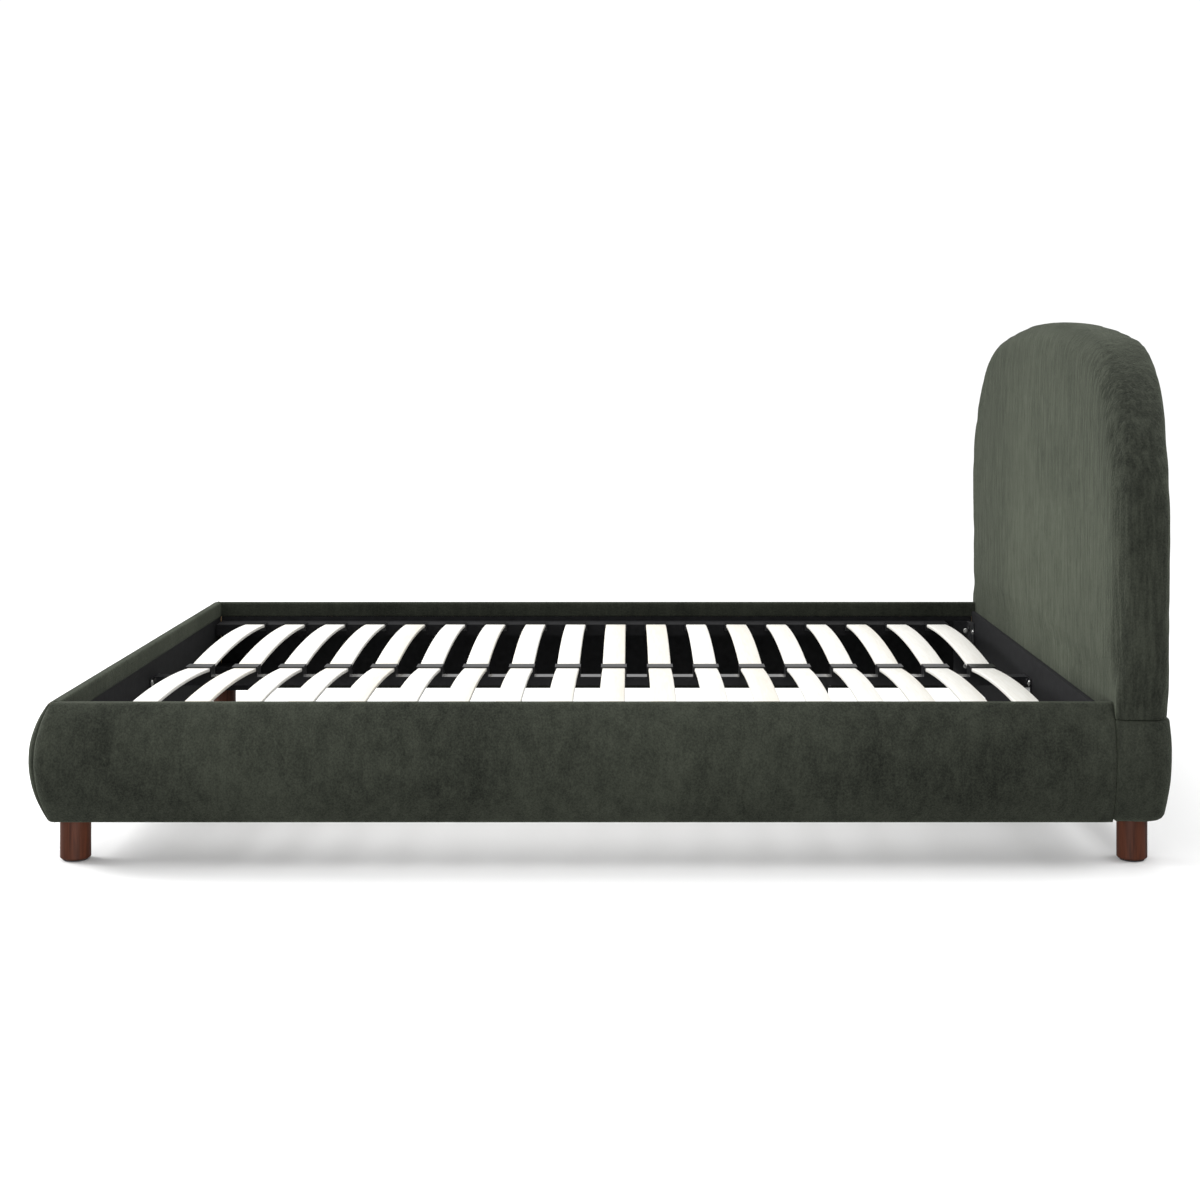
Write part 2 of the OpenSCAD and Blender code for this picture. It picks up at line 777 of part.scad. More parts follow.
headboard_cover();
headboard_base_cover();
headboard_front_foam();
headboard_rim_foam();
headboard_rear_foam();
headboard_base_foam();
headboard_front_panel();
headboard_rear_panel();
headboard_arch_rim();
headboard_post_near();
headboard_post_far();
headboard_cross_rails();
rail_near_cover();
rail_near_foam();
rail_near_board();
rail_near_lining();
rail_near_ledge();
rail_far_cover();
rail_far_foam();
rail_far_board();
rail_far_lining();
rail_far_ledge();
foot_rail_cover();
foot_rail_foam();
foot_rail_board();
foot_rail_lining();
head_panel();
foot_corner_blocks();
corner_brackets();
corner_bracket_bolts();
rail_joint_bolts();
centre_beam();
beam_end_plugs();
beam_brackets();
beam_bracket_bolts();
support_leg_head();
support_leg_foot();
support_leg_nuts();
levelling_foot_head();
levelling_foot_foot();
slats_near();
slats_far();
side_caps_near();
side_caps_far();
centre_caps();
leg_foot_near();
leg_foot_far();
leg_head_near();
leg_head_far();
leg_hanger_bolts();
leg_glides();
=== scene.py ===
"""Upholstered platform bed: arched headboard, bulged rails, two rows of bowed slats, round wooden legs."""
import bpy
import bmesh
import math
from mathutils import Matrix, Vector, noise


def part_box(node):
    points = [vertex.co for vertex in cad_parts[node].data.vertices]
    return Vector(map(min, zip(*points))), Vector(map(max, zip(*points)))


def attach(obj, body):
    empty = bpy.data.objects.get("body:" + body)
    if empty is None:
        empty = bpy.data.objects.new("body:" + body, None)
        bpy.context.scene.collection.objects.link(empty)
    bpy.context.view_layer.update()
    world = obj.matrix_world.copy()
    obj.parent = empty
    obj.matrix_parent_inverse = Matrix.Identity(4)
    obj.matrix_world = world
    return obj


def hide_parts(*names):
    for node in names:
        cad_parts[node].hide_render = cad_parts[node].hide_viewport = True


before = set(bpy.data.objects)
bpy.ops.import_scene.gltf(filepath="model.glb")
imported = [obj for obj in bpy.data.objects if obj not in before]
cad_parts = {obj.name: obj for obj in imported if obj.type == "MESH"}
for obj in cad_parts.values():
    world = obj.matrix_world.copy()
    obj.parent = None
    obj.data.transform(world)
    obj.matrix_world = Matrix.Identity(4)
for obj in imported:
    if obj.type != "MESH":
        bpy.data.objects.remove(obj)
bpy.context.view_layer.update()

# The viewpoint: a level camera near the middle of the bed's side, a little above the headboard's
# shoulder line, with a moderately long lens and a lowered frame so that uprights stay upright.
camera_data = bpy.data.cameras.new("side_camera")
camera_data.lens = 60.8
camera_data.sensor_width = 36
camera_data.shift_x = -0.0242
camera_data.shift_y = -0.207
camera = bpy.data.objects.new("side_camera", camera_data)
camera.location = (0.059, -4.756, 1.005)
camera.rotation_euler = (math.radians(90), 0, 0)
bpy.context.scene.collection.objects.link(camera)
bpy.context.scene.camera = camera
bpy.context.scene.view_settings.view_transform = "Standard"


# The studio: a white seamless floor, an even white surround, soft light from overhead, a softbox over
# the foot end that lights the headboard's face, a low one along the near side and a small one behind
# the headboard. The floor is bright where it is seen and throws little light back up.
def place(name, data):
    made = bpy.data.objects.new(name, data)
    bpy.context.scene.collection.objects.link(made)
    return made


def new_finish(name):
    made = bpy.data.materials.new(name)
    made.use_nodes = True
    return made, made.node_tree.nodes, made.node_tree.links, made.node_tree.nodes["Principled BSDF"]


floor_half = 9
floor_mesh = bpy.data.meshes.new("studio_floor")
floor_mesh.from_pydata(
    [(x * floor_half, y * floor_half, -0.0005) for x, y in ((-1, -1), (1, -1), (1, 1), (-1, 1))],
    [], [(0, 1, 2, 3)])
floor = place("studio_floor", floor_mesh)
floor_finish, nodes, links, shader = new_finish("studio_paper")
floor_seen = nodes.new("ShaderNodeLightPath")
paper_tone = nodes.new("ShaderNodeMix")
paper_tone.data_type = "RGBA"
paper_tone.inputs["A"].default_value = (0.36, 0.36, 0.36, 1)
paper_tone.inputs["B"].default_value = (0.82, 0.82, 0.82, 1)
links.new(floor_seen.outputs["Is Camera Ray"], paper_tone.inputs["Factor"])
links.new(paper_tone.outputs["Result"], shader.inputs["Base Color"])
shader.inputs["Roughness"].default_value = 0.9
shader.inputs["Specular IOR Level"].default_value = 0.1
shader.inputs["Emission Color"].default_value = (1, 1, 1, 1)
shader.inputs["Emission Strength"].default_value = 0.06
floor_mesh.materials.append(floor_finish)

world = bpy.data.worlds.new("white_surround")
bpy.context.scene.world = world
world.use_nodes = True
nodes = world.node_tree.nodes
links = world.node_tree.links
surround = nodes["Background"]
surround.inputs["Color"].default_value = (1, 1, 1, 1)
surround.inputs["Strength"].default_value = 0.5
backdrop = nodes.new("ShaderNodeBackground")
backdrop.inputs["Color"].default_value = (1, 1, 1, 1)
backdrop.inputs["Strength"].default_value = 1.05
seen = nodes.new("ShaderNodeLightPath")
either = nodes.new("ShaderNodeMixShader")
links.new(seen.outputs["Is Camera Ray"], either.inputs[0])
links.new(surround.outputs[0], either.inputs[1])
links.new(backdrop.outputs[0], either.inputs[2])
links.new(either.outputs[0], nodes["World Output"].inputs["Surface"])


def softbox(name, where, at, size, watts):
    data = bpy.data.lights.new(name, "AREA")
    data.shape = "RECTANGLE"
    data.size, data.size_y = size
    data.energy = watts
    lamp = place(name, data)
    lamp.location = where
    lamp.rotation_euler = (Vector(at) - Vector(where)).to_track_quat("-Z", "Y").to_euler()
    lamp.visible_camera = False


softbox("foot_softbox", (-4.2, 0.8, 2.3), (0.9, 0.1, 0.55), (2.2, 1.6), 185)
softbox("front_softbox", (-0.45, -3.0, 0.36), (-0.35, 0, 0.21), (2.0, 0.35), 36)
softbox("rear_softbox", (3.3, -0.6, 1.8), (1.35, -0.5, 0), (1.5, 1.0), 34)
skylight = bpy.data.lights.new("skylight", "SUN")
skylight.energy = 2.4
skylight.angle = math.radians(70)
place("skylight", skylight).rotation_euler = (math.radians(-2), math.radians(-6), 0)


# ---- Rail covers: chenille velvet pulled over a foam bulge, turned down inside the recess and
# under the board, and sewn in a mitred seam at each foot corner. Three covers, near, foot, far.
def smooth_shade(mesh):
    for face in mesh.polygons:
        face.use_smooth = True


def slub_group():
    """Velvet pile as colour, roughness and height: long soft slubs, crushed patches and fine tufts."""
    group = bpy.data.node_groups.new("velvet_pile", "ShaderNodeTree")
    sockets = (("Deep", "INPUT", "NodeSocketColor"), ("Bright", "INPUT", "NodeSocketColor"),
               ("Slub", "INPUT", "NodeSocketFloat"), ("Color", "OUTPUT", "NodeSocketColor"),
               ("Roughness", "OUTPUT", "NodeSocketFloat"), ("Height", "OUTPUT", "NodeSocketFloat"))
    for label, way, kind in sockets:
        group.interface.new_socket(label, in_out=way, socket_type=kind)
    n, l = group.nodes, group.links
    into, out = n.new("NodeGroupInput"), n.new("NodeGroupOutput")
    coords = n.new("ShaderNodeTexCoord")

    def pattern(stretch, scale, detail, rough):
        mapping = n.new("ShaderNodeMapping")
        mapping.inputs["Scale"].default_value = stretch
        l.new(coords.outputs["Object"], mapping.inputs["Vector"])
        made = n.new("ShaderNodeTexNoise")
        made.inputs["Scale"].default_value = scale
        made.inputs["Detail"].default_value = detail
        made.inputs["Roughness"].default_value = rough
        l.new(mapping.outputs[0], made.inputs["Vector"])
        return made.outputs["Fac"]

    def ramp(source, low, high):
        made = n.new("ShaderNodeMapRange")
        made.inputs["From Min"].default_value = low
        made.inputs["From Max"].default_value = high
        l.new(source, made.inputs["Value"])
        return made.outputs["Result"]

    def combine(operation, first, second):
        made = n.new("ShaderNodeMath")
        made.operation = operation
        for socket, value in zip(made.inputs, (first, second)):
            if isinstance(value, float):
                socket.default_value = value
            else:
                l.new(value, socket)
        return made.outputs[0]

    slubs = ramp(pattern((1, 1, 0.09), 95, 3, 0.6), 0.42, 0.62)
    crushed = ramp(pattern((1, 1, 0.7), 34, 4, 0.65), 0.36, 0.64)
    tufts = ramp(pattern((1, 1, 0.8), 300, 3, 0.7), 0.38, 0.64)
    patches = ramp(pattern((1, 1, 0.8), 4.5, 3, 0.55), 0.36, 0.62)
    slubs = combine("MULTIPLY", slubs, into.outputs["Slub"])
    tone = combine("MULTIPLY", slubs, 0.34)
    for layer, share in ((crushed, 0.22), (tufts, 0.34), (patches, 0.22)):
        tone = combine("ADD", tone, combine("MULTIPLY", layer, share))
    mix = n.new("ShaderNodeMix")
    mix.data_type = "RGBA"
    l.new(tone, mix.inputs["Factor"])
    l.new(into.outputs["Deep"], mix.inputs["A"])
    l.new(into.outputs["Bright"], mix.inputs["B"])
    l.new(mix.outputs["Result"], out.inputs["Color"])
    l.new(combine("ADD", combine("MULTIPLY", tone, -0.12), 0.92), out.inputs["Roughness"])
    height = combine("ADD", combine("MULTIPLY", slubs, 0.6), combine("MULTIPLY", tufts, 0.5))
    l.new(combine("ADD", height, combine("MULTIPLY", crushed, 0.35)), out.inputs["Height"])
    return group


velvet_pile = slub_group()


def velvet(name, slub, bump, strength, painted_light_patch=None):
    """Velvet cloth; the last argument, when given, is the place and the reach of a painted pool of light,
    with painted shade down to 0.6 of the colour away from it.
    """
    made, nodes, links, shader = new_finish(name)
    pile = nodes.new("ShaderNodeGroup")
    pile.node_tree = velvet_pile
    for label, tone in (("Deep", (0.0065, 0.0080, 0.0055)), ("Bright", (0.066, 0.074, 0.054))):
        pile.inputs[label].default_value = (*(channel * strength for channel in tone), 1)
    pile.inputs["Slub"].default_value = slub
    raised = nodes.new("ShaderNodeBump")
    raised.inputs["Strength"].default_value = bump
    raised.inputs["Distance"].default_value = 0.0014
    # painted light: the colour stays whole at the patch's centre and is multiplied down to 0.6 beyond its
    # reach, as painted shade
    if painted_light_patch:
        coords = nodes.new("ShaderNodeTexCoord")
        mapping = nodes.new("ShaderNodeMapping")
        mapping.vector_type = "TEXTURE"
        mapping.inputs["Location"].default_value = painted_light_patch[0]
        mapping.inputs["Scale"].default_value = painted_light_patch[1]
        ball = nodes.new("ShaderNodeTexGradient")
        ball.gradient_type = "SPHERICAL"
        painted_light_falloff = nodes.new("ShaderNodeMapRange")
        painted_light_falloff.interpolation_type = "SMOOTHSTEP"
        painted_light_falloff.inputs["From Max"].default_value = 0.75
        painted_light_falloff.inputs["To Min"].default_value = 0.60
        shading = nodes.new("ShaderNodeMix")
        shading.data_type = "RGBA"
        shading.blend_type = "MULTIPLY"
        shading.inputs["Factor"].default_value = 1
        links.new(coords.outputs["Object"], mapping.inputs["Vector"])
        links.new(mapping.outputs[0], ball.inputs["Vector"])
        links.new(ball.outputs["Fac"], painted_light_falloff.inputs["Value"])
        links.new(pile.outputs["Color"], shading.inputs["A"])
        links.new(painted_light_falloff.outputs["Result"], shading.inputs["B"])
        links.new(shading.outputs["Result"], shader.inputs["Base Color"])
    else:
        links.new(pile.outputs["Color"], shader.inputs["Base Color"])
    links.new(pile.outputs["Roughness"], shader.inputs["Roughness"])
    links.new(pile.outputs["Height"], raised.inputs["Height"])
    links.new(raised.outputs[0], shader.inputs["Normal"])
    shader.inputs["Specular IOR Level"].default_value = 0.18
    shader.inputs["Sheen Weight"].default_value = 0.2 * strength
    shader.inputs["Sheen Roughness"].default_value = 0.45
    shader.inputs["Sheen Tint"].default_value = (0.60, 0.68, 0.50, 1)
    return made


# The rails and the base section get this copy of the velvet, with colour and sheen scaled to 0.72 against
# 0.98 for the headboard's. This is painted shade: the same cloth made darker where it takes less light.
rail_velvet = velvet("rail_velvet", 0.25, 0.8, 0.72)
cover_t = 0.0016
far_low, far_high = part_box("rail_far_cover")
foot_low, foot_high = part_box("foot_rail_cover")
rail_top, rail_bottom = far_high[2], far_low[2]
inner_y = far_low[1]
inner_x = foot_high[0]
bulge_out = far_high[1] - inner_y
edge_w = 0.020
turned_down = 0.038
fullest_z = 0.210
corner_r = 0.010


def arc_out(z):
    """A rail's depth at height z, from its inner face: one arc above the fullest point, one below."""
    rise = (rail_top if z > fullest_z else rail_bottom) - fullest_z
    push = bulge_out - edge_w
    radius = (push * push + rise * rise) / (2 * push)
    return bulge_out - radius + math.sqrt(radius * radius - (z - fullest_z) ** 2)


def even_line(points, step):
    """The same line with a point every step, and its first and last points kept."""
    made = [Vector(points[0])]
    for a, b in zip(points, points[1:]):
        a, b = Vector(a), Vector(b)
        count = max(1, round((b - a).length / step))
        made += [a.lerp(b, (k + 1) / count) for k in range(count)]
    return made


def soften(points, times):
    for _ in range(times):
        inner = [(a + 2 * b + c) / 4 for a, b, c in zip(points, points[1:], points[2:])]
        points = [points[0]] + inner + [points[-1]]
    return points


heights = [rail_top - (rail_top - rail_bottom) * k / 46 for k in range(47)]
rail_line = [(0, rail_top - turned_down), (0, rail_top), (edge_w, rail_top)]
rail_line += [(arc_out(z), z) for z in heights[1:]]
rail_line += [(0, rail_bottom), (0, rail_bottom + 0.012)]
rail_line = soften(even_line(rail_line, 0.0028), 4)


def skin(name, sets, finish, looped=False):
    """A piece from sets of rings. Each ring is a line of points across it; looped closes each ring."""
    mesh = bpy.data.meshes.new(name)
    points = []
    faces = []
    for rings in sets:
        start = len(points)
        across = len(rings[0])
        points += [p for ring in rings for p in ring]
        for r in range(start, start + across * (len(rings) - 1), across):
            for k in range(across if looped else across - 1):
                ahead = (k + 1) % across
                faces.append((r + k, r + ahead, r + across + ahead, r + across + k))
    mesh.from_pydata(points, [], faces)
    work = bmesh.new()
    work.from_mesh(mesh)
    bmesh.ops.remove_doubles(work, verts=work.verts, dist=0.00004)
    bmesh.ops.recalc_face_normals(work, faces=work.faces)
    work.to_mesh(mesh)
    work.free()
    smooth_shade(mesh)
    mesh.materials.append(finish)
    return place(name, mesh)


def ripple(point, size, depth, seed):
    return noise.noise((point + Vector((seed, seed, seed))) / size) * depth


def corner_place(u, angle):
    """Plan place of a point u out from the rails' inner faces, turned angle round the near foot corner."""
    turn = u - corner_r
    if turn < 0:
        return Vector((inner_x - u, -inner_y - u))
    return Vector((inner_x - corner_r - turn * math.sin(angle), -inner_y - corner_r - turn * math.cos(angle)))


def worked(u, z, plan, from_seam, outward):
    """One point of a rail cover with its slack, and rolled in where it meets a seam or the headboard."""
    spot = Vector((plan[0], plan[1], z))
    fullness = max(0.0, min(1.0, (u - 0.012) / 0.02))
    out = fullness * (ripple(spot, 0.11, 0.0011, 3) + ripple(spot, 0.035, 0.0004, 9) - 0.0006)
    out -= 0.0042 * math.exp(-from_seam / 0.0040) * max(0.35, fullness)
    return (plan[0] + outward[0] * out, plan[1] + outward[1] * out, z)


def spaced(start, end, step):
    count = max(1, round(abs(end - start) / step))
    return [start + (end - start) * k / count for k in range(count + 1)]


half_turn = math.radians(45)
seam_steps = [0, 0.0015, 0.003, 0.0055, 0.009]
seam_reach = 0.04
corner_steps = 8
ring_step = 0.011


def corner_ring(angle, away):
    """One ring of a rail cover at the near foot corner; away is the distance from the mitred seam."""
    outward = (-math.sin(angle), -math.cos(angle))
    return [worked(u, z, corner_place(u, angle), away, outward) for u, z in rail_line]


def side_rings(side):
    """Rings of a side rail's cover from the headboard to the foot seam; side is -1 near and 1 far."""
    rings = []
    end_x = far_high[0]
    for x in [end_x - step for step in seam_steps] + spaced(end_x - 0.015, inner_x - corner_r, ring_step):
        away = min(end_x - x, x - inner_x + 0.05)
        plans = [(max(x, inner_x - u) if u < corner_r else x, -inner_y - u) for u, z in rail_line]
        rings.append([worked(u, z, plan, away, (0, -1)) for plan, (u, z) in zip(plans, rail_line)])
    for k in range(1, corner_steps + 1):
        angle = half_turn * k / corner_steps
        rings.append(corner_ring(angle, (half_turn - angle) * seam_reach))
    return [[(x, -side * y, z) for x, y, z in ring] for ring in rings]


def foot_rings():
    """Rings of the foot rail's cover from the near seam to the far seam."""
    rings = []
    for k in range(corner_steps + 1):
        turned = half_turn * k / corner_steps
        rings.append(corner_ring(half_turn + turned, turned * seam_reach))
    far_side = [[(x, -y, z) for x, y, z in ring] for ring in reversed(rings)]
    for y in spaced(-inner_y - corner_r, inner_y + corner_r, ring_step)[1:-1]:
        away = inner_y + 0.05 - abs(y)
        held = [max(-inner_y - u, min(inner_y + u, y)) if u < corner_r else y for u, z in rail_line]
        rings.append([worked(u, z, (inner_x - u, across), away, (-1, 0))
                      for across, (u, z) in zip(held, rail_line)])
    return rings + far_side


def cloth_shell(made, thickness):
    """Gives a cloth skin its thickness, inwards."""
    thick = made.modifiers.new("cloth_thickness", "SOLIDIFY")
    thick.thickness = thickness
    thick.offset = -1


for rail, rings in (("rail_near", side_rings(-1)), ("rail_far", side_rings(1)), ("foot_rail", foot_rings())):
    cover = skin(rail + "_upholstery", [rings], rail_velvet)
    cloth_shell(cover, cover_t)
    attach(cover, "bed")
    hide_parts(rail + "_cover", rail + "_foam")


# ---- Headboard cover: the same velvet over a foam pad, sewn round the arch as one soft edge and
# closed down the back. It ends in a seam above the base section.
board_low, board_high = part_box("headboard_cover")
base_low, base_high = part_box("headboard_base_cover")
board_top = board_high[2] + 0.003
board_overlap = 0.020
shoulder_r = 0.390
shoulder_drop = 0.423
side_sweep_r = 2.8
front_edge_r = 0.056
front_edge_depth = 0.034
rear_edge_r = 0.020
lean_from = 0.760
lean_slope = math.sin(math.radians(5))
lean_ease = 0.025
front_lean = 0.30
half_width = board_high[1]
shoulder_y = half_width - shoulder_r
shoulder_z = board_top - shoulder_drop
crown_r = (shoulder_y ** 2 + shoulder_drop ** 2 - shoulder_r ** 2) / (2 * (shoulder_drop - shoulder_r))
crown_turn = math.atan2(shoulder_y, crown_r - shoulder_drop)


def arch_line(inset):
    """The arch's outline, inset, as (y, z) from the far bottom corner over the crown to the near one."""
    half = []
    lowest = board_low[2] - board_overlap
    for k in range(24):
        z = lowest + (shoulder_z - lowest) * k / 24
        reach = math.sqrt((side_sweep_r - inset) ** 2 - (z - shoulder_z) ** 2)
        half.append((half_width - side_sweep_r + reach, z))
    for k in range(41):
        turn = k * (math.pi / 2 - crown_turn) / 40
        half.append((shoulder_y + (shoulder_r - inset) * math.cos(turn),
                     shoulder_z + (shoulder_r - inset) * math.sin(turn)))
    for k in range(1, 25):
        turn = crown_turn * (1 - k / 24)
        half.append(((crown_r - inset) * math.sin(turn),
                     board_top - crown_r + (crown_r - inset) * math.cos(turn)))
    return half + [(-y, z) for y, z in reversed(half[:-1])]


def board_ring(inset, x):
    return [(x, y, z) for y, z in arch_line(inset)]


board_rings = [board_ring(inset, board_low[0] + 0.0022 * math.exp(-(inset - front_edge_r) / 0.04))
               for inset in (0.37, 0.3, 0.2, 0.12, 0.09, 0.07)]
quarter_turn = [k * math.pi / 20 for k in range(11)]
for turn in quarter_turn:
    board_rings.append(board_ring(front_edge_r * (1 - math.sin(turn)),
                                  board_low[0] + 0.0016 + front_edge_depth * (1 - math.cos(turn))))
for turn in reversed(quarter_turn):
    board_rings.append(board_ring(rear_edge_r * (1 - math.sin(turn)),
                                  board_high[0] - rear_edge_r * (1 - math.cos(turn))))
board_rings += [board_ring(inset, board_high[0]) for inset in (0.04, 0.08, 0.15, 0.25, 0.37)]


def capped(mesh):
    """Fills the open middle of the first and last ring, so that the piece is one closed form."""
    work = bmesh.new()
    work.from_mesh(mesh)
    bmesh.ops.holes_fill(work, edges=[e for e in work.edges if e.is_boundary])
    bmesh.ops.triangulate(work, faces=[f for f in work.faces if len(f.verts) > 4])
    bmesh.ops.recalc_face_normals(work, faces=work.faces)
    work.to_mesh(mesh)
    work.free()


def settled(piece):
    """Applies the piece's modifiers to its mesh."""
    bpy.context.view_layer.update()
    whole = piece.evaluated_get(bpy.context.evaluated_depsgraph_get())
    made = bpy.data.meshes.new_from_object(whole)
    piece.modifiers.clear()
    piece.data = made
    smooth_shade(made)


def remeshed(piece, voxel, smoothing):
    cells = piece.modifiers.new("even_cells", "REMESH")
    cells.mode = "VOXEL"
    cells.voxel_size = voxel
    evened = piece.modifiers.new("evened", "SMOOTH")
    evened.iterations = smoothing
    settled(piece)


def slackened(piece, layers, seed):
    """Moves each point along its normal by soft ripples, given as (size, depth) pairs."""
    normals = [vertex.normal.copy() for vertex in piece.data.vertices]
    for vertex, normal in zip(piece.data.vertices, normals):
        lifts = [ripple(vertex.co, size, depth, seed + 5 * k) for k, (size, depth) in enumerate(layers)]
        vertex.co += normal * sum(lifts)


def plumped(piece, pressure, most):
    """Swells a closed form as stuffed cloth, and holds each point to within about most of its start."""
    homes = [vertex.co.copy() for vertex in piece.data.vertices]
    cloth = piece.modifiers.new("stuffing", "CLOTH")
    cloth.settings.quality = 4
    cloth.settings.mass = 0.4
    cloth.settings.tension_stiffness = 30
    cloth.settings.compression_stiffness = 30
    cloth.settings.bending_stiffness = 2
    cloth.settings.use_pressure = True
    cloth.settings.uniform_pressure_force = pressure
    cloth.settings.effector_weights.gravity = 0
    cloth.point_cache.frame_end = swell_frames
    for frame_number in range(1, swell_frames + 1):
        bpy.context.scene.frame_set(frame_number)
    settled(piece)
    bpy.context.scene.frame_set(1)
    for vertex, home in zip(piece.data.vertices, homes):
        move = vertex.co - home
        if move.length > 0:
            vertex.co = home + move * (most * math.tanh(move.length / most) / move.length)


swell_frames = 16
# The headboard's face gets a painted pool of light round this place, with painted shade towards its edges.
painted_light_place = (board_low[0], -0.12, 0.58)
painted_light_reach = (0.16, 0.95, 0.62)
board_velvet = velvet("headboard_velvet", 1.0, 0.9, 0.98, (painted_light_place, painted_light_reach))
board = skin("headboard_upholstery", [board_rings], board_velvet, looped=True)
capped(board.data)
remeshed(board, 0.012, 1)
plumped(board, 3.0, 0.006)
finer = board.modifiers.new("finer", "SUBSURF")
finer.levels = 1
finer.render_levels = 1
calmed = board.modifiers.new("calmed", "SMOOTH")
calmed.iterations = 10
settled(board)
slackened(board, ((0.22, 0.0014), (0.05, 0.0004)), 21)
grown_y = half_width / max(abs(vertex.co.y) for vertex in board.data.vertices)
grown_z = (board_top - board_low[2]) / (max(vertex.co.z for vertex in board.data.vertices) - board_low[2])
free_from = 0.325
free_over = 0.08
press_depth = 0.06
for vertex in board.data.vertices:
    # back to full size, and flat where it meets the base section, the head panel and the rails' ends
    vertex.co.y *= grown_y
    vertex.co.z = board_low[2] + (vertex.co.z - board_low[2]) * grown_z
    free = max(0.0, min(1.0, (vertex.co.z - free_from) / free_over))
    vertex.co.x = max(vertex.co.x, board_low[0] + 0.0006 - 0.012 * free)
    depth = vertex.co.x - board_low[0]
    if depth < press_depth:
        pressed = (1 - depth / press_depth) * (1 - free)
        vertex.co.x = board_low[0] + depth + (0.0006 - depth) * min(1.0, 1.6 * pressed)
    vertex.co.z = max(vertex.co.z, board_low[2] + 0.0004)
for vertex in board.data.vertices:
    # the upper part leans back, its rear face more than its front
    above = (vertex.co.z - lean_from) / lean_ease
    reach = lean_ease * (above if above > 30 else math.log1p(math.exp(above)))
    share = 1 / (1 + math.exp(-above))
    vertex.co.z -= (vertex.co.x - board_low[0]) * lean_slope * share * 0.6
    depth = (vertex.co.x - board_low[0]) / (board_high[0] - board_low[0])
    vertex.co.x += lean_slope * reach * (front_lean + (1 - front_lean) * depth)
board.data.materials.clear()
board.data.materials.append(board_velvet)
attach(board, "bed")
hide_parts("headboard_cover", "headboard_front_foam", "headboard_rim_foam", "headboard_rear_foam")

# ---- Base section of the headboard: its own cover, as full as the rails at both ends, a little
# proud of the arch at the back and drawn in to the underside, where it is stapled.
back_corner_r = 0.030
front_corner_r = 0.004
under_wrap = 0.045


def base_loop(z, inset):
    """One level of the base cover: a rectangle in plan with round back corners."""
    side = inner_y + arc_out(z) - inset
    back = base_high[0] - 0.009 * max(0.0, (0.25 - z) / 0.16) ** 2 - inset
    front = base_low[0] + inset
    loop = []
    corners = ((back, side, back_corner_r, 0), (front, side, front_corner_r, 90),
               (front, -side, front_corner_r, 180), (back, -side, back_corner_r, 270))
    for x, y, radius, start in corners:
        radius = min(radius, (back - front) / 2.2)
        centre_x = x - radius if x == back else x + radius
        centre_y = y - math.copysign(radius, y)
        for k in range(7):
            turn = math.radians(start + 15 * k)
            loop.append(Vector((centre_x + radius * math.cos(turn), centre_y + radius * math.sin(turn), z)))
    runs = []
    for a, b in zip(loop, loop[1:] + loop[:1]):
        count = 120 if (b - a).length > 1.0 else 6 if (b - a).length > 0.03 else 1
        runs += [a.lerp(b, k / count) for k in range(count)]
    return runs


base_levels = [(base_high[2] - 0.0002, 0.03), (base_high[2] - 0.0002, 0.0045), (base_high[2] - 0.001, 0.0018),
               (base_high[2] - 0.0025, 0.0005), (base_high[2] - 0.005, 0)]
base_levels += [(z, 0) for z in spaced(base_high[2] - 0.015, base_low[2] + 0.014, 0.009)]
base_levels += [(base_low[2] + 0.008, 0.0015), (base_low[2] + 0.0035, 0.005), (base_low[2] + 0.001, 0.011),
                (base_low[2], 0.02), (base_low[2], under_wrap)]
base_loops = [base_loop(z, inset) for z, inset in base_levels]
across = min(len(loop) for loop in base_loops)
base = skin("headboard_base_upholstery", [[loop[:across] for loop in base_loops]], rail_velvet, looped=True)
slackened(base, ((0.12, 0.0012), (0.04, 0.0005)), 33)
cloth_shell(base, cover_t)
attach(base, "bed")
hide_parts("headboard_base_cover", "headboard_base_foam")


# ---- Black lining cloth: stapled inside the rails under the velvet, and round the head panel, the
# slat ledges and the corner blocks. A plain weave with a faint slub.
def woven_group():
    """Plain weave: crossing threads as a height, and a mask that lifts the thread tops."""
    group = bpy.data.node_groups.new("plain_weave", "ShaderNodeTree")
    group.interface.new_socket("Pitch", in_out="INPUT", socket_type="NodeSocketFloat")
    group.interface.new_socket("Height", in_out="OUTPUT", socket_type="NodeSocketFloat")
    group.interface.new_socket("Tone", in_out="OUTPUT", socket_type="NodeSocketFloat")
    n, l = group.nodes, group.links
    into, out = n.new("NodeGroupInput"), n.new("NodeGroupOutput")
    coords = n.new("ShaderNodeTexCoord")
    scaled = n.new("ShaderNodeVectorMath")
    scaled.operation = "SCALE"
    l.new(coords.outputs["Object"], scaled.inputs[0])
    l.new(into.outputs["Pitch"], scaled.inputs["Scale"])
    parts = n.new("ShaderNodeSeparateXYZ")
    l.new(scaled.outputs[0], parts.inputs[0])
    waves = []
    for axis in "XYZ":
        wave = n.new("ShaderNodeMath")
        wave.operation = "SINE"
        l.new(parts.outputs[axis], wave.inputs[0])
        waves.append(wave.outputs[0])
    total = n.new("ShaderNodeMath")
    l.new(waves[0], total.inputs[0])
    l.new(waves[1], total.inputs[1])
    crossing = n.new("ShaderNodeMath")
    l.new(total.outputs[0], crossing.inputs[0])
    l.new(waves[2], crossing.inputs[1])
    slub = n.new("ShaderNodeTexNoise")
    slub.inputs["Scale"].default_value = 60
    slub.inputs["Detail"].default_value = 4
    l.new(coords.outputs["Object"], slub.inputs["Vector"])
    l.new(crossing.outputs[0], out.inputs["Height"])
    l.new(slub.outputs["Fac"], out.inputs["Tone"])
    return group


plain_weave = woven_group()


